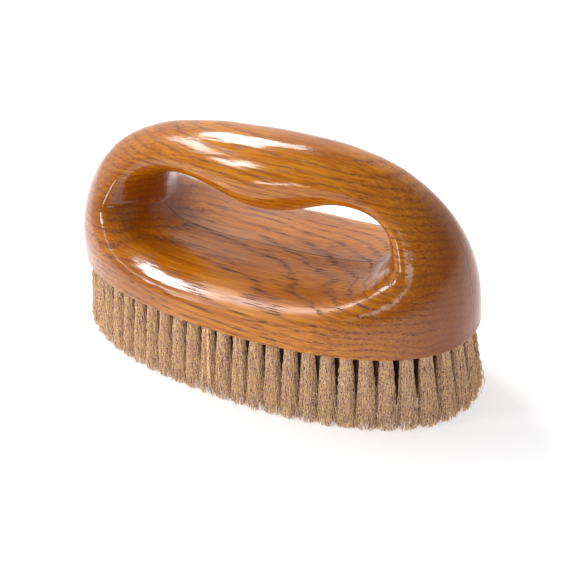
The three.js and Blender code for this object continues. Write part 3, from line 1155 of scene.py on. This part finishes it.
    def _hole_ring(self, place: TuftPlace, height: float = 0.0) -> np.ndarray:
        """Points round a hole.

        Args:
            place: where its tuft stands.
            height: height over the block's bottom.

        Returns:
            One point for each side of the hole.
        """
        turn = np.linspace(0, 2 * math.pi, self.hole_sides, endpoint=False)
        middle = place.axis(np.array(self.plan.block.bottom + height), self.plan.block.bottom)
        circle = np.stack([np.cos(turn), np.sin(turn), np.zeros_like(turn)], axis=-1)
        return middle + circle * self.hole_radius

    def _add_holes(self, shell: Shell) -> None:
        """Adds the walls and blind ends of the holes.

        Args:
            shell: where the faces go.
        """
        sides = self.hole_sides
        for place in self._own_places():
            ring = np.stack([self._hole_ring(place), self._hole_ring(place, self.plan.hole_depth)])
            ring = np.concatenate([ring, ring[:, :1]], axis=1)
            end = np.arange(sides + 1, 2 * sides + 1)[None, ::-1]
            shell.add(ring, grid_faces(2, sides + 1, closed=False), end)

    def _weld(self, piece: bpy.types.Object) -> None:
        """Joins the shell's parts where they meet, and marks its sharp edges.

        Args:
            piece: the half.
        """
        bpy.context.view_layer.objects.active = piece
        weld = piece.modifiers.new("weld", "WELD")
        weld.merge_threshold = self.weld_distance
        depsgraph = bpy.context.evaluated_depsgraph_get()
        welded = bpy.data.meshes.new_from_object(piece.evaluated_get(depsgraph))
        piece.modifiers.clear()
        piece.data = welded
        piece.data.name = self.name
        piece.data.set_sharp_from_angle(angle=self.sharp_angle)


# ---------------------------------------------------------------------------------------------------------
# Bristles
# ---------------------------------------------------------------------------------------------------------


@dataclass(frozen=True)
class Crimp:
    """The waves pressed into the wire, and how unevenly it lies."""

    length: float = 3.3
    depth: float = 0.26
    wander: float = 0.22  # depth of the slow waves
    wander_length: float = 4.3  # of the slow waves, in crimps

    def offsets(self, z: np.ndarray, chance: np.random.Generator, count: int) -> np.ndarray:
        """How far each wire strays from its straight course.

        Args:
            z: heights along the wires.
            chance: source of random numbers.
            count: number of wires.

        Returns:
            x and y for each wire and height.
        """
        heading = chance.uniform(0, 2 * math.pi, (2, count, 1))
        phase = chance.uniform(0, 2 * math.pi, (2, count, 1))
        pressed = self.depth * np.sin(2 * math.pi * z / self.length + phase[0])
        slack = self.wander * np.sin(2 * math.pi * z / (self.length * self.wander_length) + phase[1])
        return np.stack([
            pressed * np.cos(heading[0]) + slack * np.cos(heading[1]),
            pressed * np.sin(heading[0]) + slack * np.sin(heading[1]),
        ], axis=-1)


@dataclass(frozen=True)
class TuftMaker:
    """Makes one tuft: a packed core and the wires that show round it."""

    bottom: float
    root_radius: float = 1.85
    tip_radius: float = 3.45  # more than half the pitch, so that neighbours mingle
    wires: int = 150
    wire_radius: float = 0.105
    points_per_wire: int = 34
    core_share: float = 0.78  # of the tuft's radius
    core_sides: int = 28
    core_rings: int = 16
    core_end: float = 3.5  # height at which the core ends and loose tips begin
    core_top: float = 32.7  # height of the tuft's end in its hole
    core_ripple: float = 0.09  # share of the radius by which its ribs stand out
    core_twist: float = 3.0  # radians by which one rib's waves lead or trail another's
    skin_share: float = 0.72  # of the wires that lie in the skin
    skin: tuple[float, float] = (0.84, 1.0)  # shares of the radius between which they lie
    filling: float = 0.85  # share of the radius within which the other wires lie
    uneven_trim: float = 0.3
    closest_trim: float = 0.02  # height over the floor of the longest wires' tips
    strays: int = 5  # wires that stand away from the tuft
    stray_reach: float = 0.45  # how much further out their tips are, as a share of their own place
    flatten: float = 0.3  # how much thinner than wide a leaning tuft is at its tip
    into_hole: float = 0.8  # how far the separate wires reach into the hole
    root_freedom: float = 0.25  # share of the crimp that shows where the hole grips the wire
    free_at: float = 1 / 3  # share of the way down at which all of it shows
    crimp: Crimp = Crimp()

    def add(self, shell: Shell, place: TuftPlace, chance: np.random.Generator) -> None:
        """Adds one tuft.

        Args:
            shell: where the faces go.
            place: where the tuft stands.
            chance: source of random numbers.
        """
        self._add_core(shell, place, chance)
        self._add_wires(shell, place, chance)

    def _radius(self, z: np.ndarray) -> np.ndarray:
        """Radius of the tuft at heights."""
        return self.tip_radius + (self.root_radius - self.tip_radius) * np.clip(z / self.bottom, 0, 1)

    def _add_core(self, shell: Shell, place: TuftPlace, chance: np.random.Generator) -> None:
        """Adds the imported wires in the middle, as one ribbed body.

        Args:
            shell: where the faces go.
            place: where the tuft stands.
            chance: source of random numbers.
        """
        z = np.linspace(self.core_top, self.core_end, self.core_rings)
        turn = np.linspace(0, 2 * math.pi, self.core_sides + 1)
        ribs = chance.uniform(-1, 1, (2, self.core_sides))
        ribs = np.concatenate([ribs, ribs[:, :1]], axis=1)
        swing = 2 * math.pi * z[:, None] / self.crimp.length
        ripple = self.core_ripple * (ribs[0] + ribs[1] * np.sin(swing + self.core_twist * ribs[0]))
        radius = self.core_share * self._radius(z)[:, None] * (1 + ripple)
        middle = place.axis(z, self.bottom)[:, None]
        fall = np.clip(1 - z / self.bottom, 0, 1)[:, None]
        rings = np.repeat(middle, len(turn), axis=1)
        rings[..., :2] += self._spread(place, radius * np.cos(turn), radius * np.sin(turn), fall)
        ends = np.arange(self.core_sides)
        last = (self.core_rings - 1) * (self.core_sides + 1)
        shell.add(rings, grid_faces(self.core_rings, self.core_sides + 1, closed=False),
                  ends[None, :], (ends + last)[None, ::-1])

    def _spread(self, place: TuftPlace, out: np.ndarray, aside: np.ndarray, fall: np.ndarray) -> np.ndarray:
        """Places in a tuft's section, which is squeezed where it leans and wide beside its neighbours.

        Args:
            place: where the tuft stands.
            out: distances from its axis towards the outside.
            aside: distances along the ring.
            fall: share of the way from root to tip.

        Returns:
            x and y from the axis.
        """
        length = np.linalg.norm(place.lean)
        heading = place.lean / length if length > 0 else np.array([1.0, 0.0])
        squeeze = 1 - self.flatten * fall * (length > 0)
        beside = np.array([-heading[1], heading[0]])
        return (out * squeeze)[..., None] * heading + aside[..., None] * beside

    def _add_wires(self, shell: Shell, place: TuftPlace, chance: np.random.Generator) -> None:
        """Adds the separate wires.

        Args:
            shell: where the faces go.
            place: where the tuft stands.
            chance: source of random numbers.
        """
        count, steps = self.wires, self.points_per_wire
        skin = chance.random(count) < self.skin_share
        near_skin = chance.uniform(*self.skin, count)
        share = np.where(skin, near_skin, np.sqrt(chance.random(count)) * self.filling)
        turn = chance.uniform(0, 2 * math.pi, count)
        tips = np.abs(chance.normal(0, self.uneven_trim, count)) + self.closest_trim
        fall = np.linspace(0, 1, steps)
        top = self.bottom + self.into_hole
        z = top + (tips[:, None] - top) * fall
        radius = self._radius(z) * share[:, None]
        radius[:self.strays] *= 1 + self.stray_reach * fall ** 2
        path = place.axis(z, self.bottom)
        out, aside = radius * np.cos(turn)[:, None], radius * np.sin(turn)[:, None]
        path[..., :2] += self._spread(place, out, aside, fall)
        freedom = self.root_freedom + (1 - self.root_freedom) * np.minimum(1, fall / self.free_at)
        path[..., :2] += self.crimp.offsets(z, chance, count) * freedom[None, :, None]
        add_wires(shell, path, self.wire_radius)


def add_wires(shell: Shell, paths: np.ndarray, radius: float) -> None:
    """Adds three-sided wires that run downwards.

    Args:
        shell: where the faces go.
        paths: points of each wire from its top to its tip.
        radius: the wires' radius.
    """
    count, steps = paths.shape[:2]
    turn = np.arange(3) * (2 * math.pi / 3)
    circle = np.stack([np.cos(turn), np.sin(turn), np.zeros(3)], axis=-1) * radius
    rings = paths[:, :, None] + circle
    corner = np.arange(count * steps * 3).reshape(count, steps, 3)
    after = np.roll(corner, -1, axis=2)
    quads = np.stack([corner[:, :-1], corner[:, 1:], after[:, 1:], after[:, :-1]], axis=-1).reshape(-1, 4)
    tops, tips = corner[:, 0], corner[:, -1, ::-1]
    shell.add(rings, quads, tops, tips)


@dataclass
class EdgeTufts:
    """The outer ring of tufts, each its own piece."""

    plan: BristlePlan
    maker: TuftMaker
    seed: int = 1000

    def make(self, material: bpy.types.Material) -> list[bpy.types.Object]:
        """Builds every tuft of the ring.

        Args:
            material: bristle wire.

        Returns:
            The pieces, anticlockwise from the right end.
        """
        pieces = []
        for number, place in enumerate(self.plan.edge_places(), start=1):
            shell = Shell()
            self.maker.add(shell, place, np.random.default_rng(self.seed + number))
            piece = shell.piece(f"ring_tuft_{number:02d}", material)
            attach(piece, BODY)
            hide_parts(f"edge_tuft_{number:02d}")
            pieces.append(piece)
        return pieces


@dataclass
class InnerField:
    """The tufts inside the ring, one piece because their wires interlock."""

    plan: BristlePlan
    maker: TuftMaker
    seed: int = 500
    name: str = "inner_tufts"

    def make(self, material: bpy.types.Material) -> bpy.types.Object:
        """Builds the field.

        Args:
            material: bristle wire.

        Returns:
            The piece.
        """
        shell = Shell()
        chance = np.random.default_rng(self.seed)
        for place in self.plan.inner_places():
            self.maker.add(shell, place, chance)
        piece = shell.piece(self.name, material)
        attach(piece, BODY)
        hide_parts("inner_tuft_field")
        return piece


# ---------------------------------------------------------------------------------------------------------
# Studio
# ---------------------------------------------------------------------------------------------------------


@dataclass(frozen=True)
class SoftLight:
    """A flat rectangular light that faces the brush."""

    name: str
    azimuth: float  # degrees round from the front towards the right end
    elevation: float
    width: float  # metres
    height: float
    brightness: float
    distance: float = 0.9
    tint: Colour = (1.0, 1.0, 1.0)

    def hang(self, target: Vector) -> None:
        """Puts the light in the scene.

        Args:
            target: the point it faces, in metres.
        """
        light = bpy.data.lights.new(self.name, "AREA")
        light.shape = "RECTANGLE"
        light.size, light.size_y = self.width, self.height
        light.energy = self.brightness * math.pi * self.width * self.height
        light.color = self.tint
        lamp = bpy.data.objects.new(self.name, light)
        back = outward(self.azimuth, self.elevation)
        lamp.matrix_world = facing(target + back * self.distance, back, 0.0)
        bpy.context.scene.collection.objects.link(lamp)


def outward(azimuth: float, elevation: float) -> Vector:
    """Direction from the brush towards a place in the studio.

    Args:
        azimuth: degrees round from the front towards the right end.
        elevation: degrees up from the floor.

    Returns:
        A unit vector.
    """
    round_, up = math.radians(azimuth), math.radians(elevation)
    return Vector((math.sin(round_) * math.cos(up), -math.cos(round_) * math.cos(up), math.sin(up)))


def facing(place: Vector, back: Vector, roll: float) -> Matrix:
    """Placing of a camera or light that looks against `back`.

    Args:
        place: where it stands, in metres.
        back: unit vector that points away from what it looks at.
        roll: degrees by which it is turned about its own axis.

    Returns:
        The world matrix.
    """
    right = Vector((-back.y, back.x, 0.0)).normalized()
    up = back.cross(right)
    turn = math.radians(roll)
    rolled = right * math.cos(turn) + up * math.sin(turn)
    upright = up * math.cos(turn) - right * math.sin(turn)
    columns = Matrix((rolled, upright, back)).transposed()
    return Matrix.Translation(place) @ columns.to_4x4()


@dataclass
class Studio:
    """Pale floor, soft lights, bright surroundings and the camera."""

    camera_azimuth: float = 34.887
    camera_elevation: float = 30.941
    camera_roll: float = -3.545
    camera_distance: float = 0.39864
    camera_target: Place = (0.00599, 0.0, 0.02393)
    camera_lens: float = 73.95
    floor_size: float = 18.0
    floor_steps: int = 24
    back_brightness: float = 0.9
    front_brightness: float = 0.19
    zenith_brightness: float = 0.25
    back_steps: tuple[float, float] = (-0.6, 0.5)  # from straight in front, -1, to straight behind, 1
    zenith_steps: tuple[float, float] = (0.6, 0.95)  # from level, 0, to straight up, 1
    camera_near: float = 0.01
    lights: tuple[SoftLight, ...] = (
        SoftLight("rim_softbox", -114, 51, 0.26, 0.19, 27.0),
        SoftLight("grip_softbox", -77, 43, 0.38, 0.12, 13.0),
        SoftLight("front_spot", -24, 10, 0.14, 0.07, 18.0),
        SoftLight("window_spot", -46, 37, 0.09, 0.16, 24.0),
        SoftLight("low_strip", 18, 22, 0.36, 0.10, 5.0),
    )

    def set_up(self) -> None:
        """Puts up everything that isn't the brush."""
        self._lay_floor()
        self._light_surroundings()
        target = Vector(self.camera_target)
        for light in self.lights:
            light.hang(target)
        self._place_camera(target)
        bpy.context.scene.view_settings.view_transform = "Standard"

    def _lay_floor(self) -> None:
        """Lays the floor under the bristle tips."""
        line = np.linspace(-0.5, 0.5, self.floor_steps) * self.floor_size / MM
        x, y = np.meshgrid(line, line, indexing="ij")
        points = np.stack([x, y, np.zeros_like(x)], axis=-1)
        shell = Shell()
        shell.add(points, grid_faces(self.floor_steps, self.floor_steps, closed=False))
        shell.piece("studio_floor", PaleFloor().material())

    def _light_surroundings(self) -> None:
        """Surrounds the brush with white that is brightest behind it and dimmer overhead."""
        world = bpy.data.worlds.new("studio_surroundings")
        world.use_nodes = True
        sheet = Sheet(world.node_tree)
        way = sheet.add("ShaderNodeTexCoord", output="Generated")
        x, y, z = sheet.axes(way)
        back = outward(self.camera_azimuth, 0)
        behind = (x * -back.x + y * -back.y).rise(*self.back_steps)
        overhead = z.rise(*self.zenith_steps)
        level = behind * (self.back_brightness - self.front_brightness) + self.front_brightness
        strength = level * (1 - overhead) + overhead * self.zenith_brightness
        shader = sheet.add("ShaderNodeBackground", None, {"Color": (1, 1, 1, 1), "Strength": strength})
        sheet.add("ShaderNodeOutputWorld", None, {"Surface": shader})
        bpy.context.scene.world = world

    def _place_camera(self, target: Vector) -> None:
        """Places the camera and makes it the scene's own.

        Args:
            target: the point it looks at, in metres.
        """
        camera = bpy.data.cameras.new("studio_camera")
        camera.lens = self.camera_lens
        camera.clip_start = self.camera_near
        stand = bpy.data.objects.new("studio_camera", camera)
        back = outward(self.camera_azimuth, self.camera_elevation)
        stand.matrix_world = facing(target + back * self.camera_distance, back, self.camera_roll)
        bpy.context.scene.collection.objects.link(stand)
        bpy.context.scene.camera = stand


def report(piece: bpy.types.Object) -> None:
    """Logs a piece's name, faces and size."""
    size = [round(length / MM, 1) for length in piece.dimensions]
    LOG.info("%s: %d faces, %s mm", piece.name, len(piece.data.polygons), size)


def main() -> None:
    """Builds the brush and the studio, in order."""
    logging.basicConfig(level=logging.INFO, format="%(name)s: %(message)s")
    wood = LacqueredWood().material()
    wire = BristleWire().material()
    block = BlockShape()
    plan = BristlePlan(block)
    for front in (True, False):
        report(HandleHalf(plan, front).make(wood))
    for piece in EdgeTufts(plan, TuftMaker(block.bottom)).make(wire):
        report(piece)
    sparse = TuftMaker(block.bottom, tip_radius=4.1, wires=24, points_per_wire=14, core_share=0.95,
                       core_sides=12, core_rings=8, core_end=0.8)
    report(InnerField(plan, sparse).make(wire))
    Studio().set_up()


if __name__ == "__main__":
    main()
